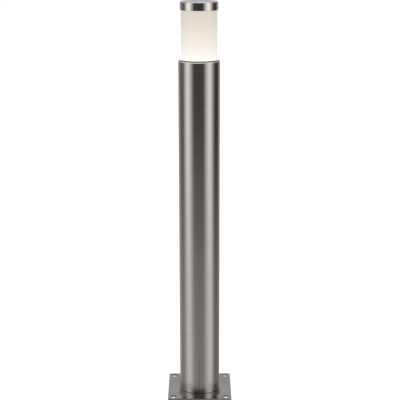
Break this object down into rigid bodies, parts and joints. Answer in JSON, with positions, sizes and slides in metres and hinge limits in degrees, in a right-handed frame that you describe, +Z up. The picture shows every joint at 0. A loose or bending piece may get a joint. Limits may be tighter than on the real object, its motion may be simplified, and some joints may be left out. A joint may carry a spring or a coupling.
{
  "type": "bollard light",
  "caption": "Round brushed-steel garden bollard on a square foot plate, with a lit opal diffuser and a polished cap on a bayonet collar.",
  "frame": {"origin": "centre of the foot plate's underside, on the ground", "axes": "+Z up along the post, X and Y along the sides of the square foot plate"},
  "size_m": [0.13, 0.13, 0.8],
  "materials": {
    "post_steel": "satin-brushed stainless steel, fine grain along the post",
    "plate_steel": "satin-brushed stainless steel plate",
    "weld_steel": "pickled stainless weld bead",
    "collar_metal": "turned and satin-anodised aluminium",
    "bridge_steel": "zinc-plated sheet steel",
    "screw_steel": "stainless screws and rivets",
    "ceramic": "glazed white electrical porcelain",
    "brass": "bright brass",
    "nickel": "nickel-plated brass",
    "lamp_white": "white lamp housing",
    "lamp_black": "black glass insulator",
    "lamp_opal": "opal lamp globe, lit warm white",
    "board_white": "white circuit board",
    "chip_yellow": "phosphor of the light chips",
    "gasket_rubber": "black EPDM",
    "diffuser_opal": "opal moulded polycarbonate, lit from inside",
    "cap_polished": "mirror-polished stainless steel",
    "terminal_plastic": "natural polyamide",
    "clamp_plastic": "black polyamide",
    "lead_brown": "brown silicone insulation",
    "lead_blue": "blue silicone insulation",
    "lead_green": "green and yellow silicone insulation"
  },
  "bodies": {
    "post": {"base_plate": "plate_steel", "post_tube": "post_steel", "base_weld": "weld_steel", "head_collar": "collar_metal", "collar_tie_screws": "screw_steel", "bridge": "bridge_steel", "lamp_holder_body": "ceramic", "lamp_holder_shell": "brass", "lamp_holder_contact": "brass", "holder_nipple": "nickel", "holder_nut": "nickel", "terminal_bracket": "bridge_steel", "bracket_rivets": "screw_steel", "terminal_block": "terminal_plastic", "terminal_sleeves": "brass", "terminal_screws": "nickel", "terminal_fixings": "screw_steel", "cable_clamp": "clamp_plastic", "cable_clamp_screws": "screw_steel", "earth_lug": "nickel", "earth_washer": "screw_steel", "earth_nut": "screw_steel", "earth_screw": "screw_steel", "lead_live": "lead_brown", "lead_neutral": "lead_blue", "lead_earth": "lead_green"},
    "head_seal": {"head_gasket": "gasket_rubber"},
    "head": {"diffuser": "diffuser_opal", "cap": "cap_polished", "cap_stud": "screw_steel", "cap_gasket": "gasket_rubber", "cap_seal": "gasket_rubber", "cap_washer": "screw_steel", "cap_nut": "screw_steel"},
    "lamp": {"lamp_contact": "nickel", "lamp_insulator": "lamp_black", "lamp_shell": "nickel", "lamp_housing": "lamp_white", "lamp_globe": "lamp_opal", "lamp_board": "board_white", "lamp_chips": "chip_yellow"}
  },
  "joints": [
    {"name": "head_lift", "type": "slide", "parent": "post", "child": "head_seal", "axis": [0, 0, 1], "range_m": [0, 0.12]},
    {"name": "head_twist", "type": "hinge", "parent": "head_seal", "child": "head", "pos_m": [0, 0, 0.688], "axis": [0, 0, -1], "range_deg": [0, 25]},
    {"name": "lamp_lift", "type": "slide", "parent": "post", "child": "lamp", "axis": [0, 0, 1], "range_m": [0, 0.032]}
  ]
}
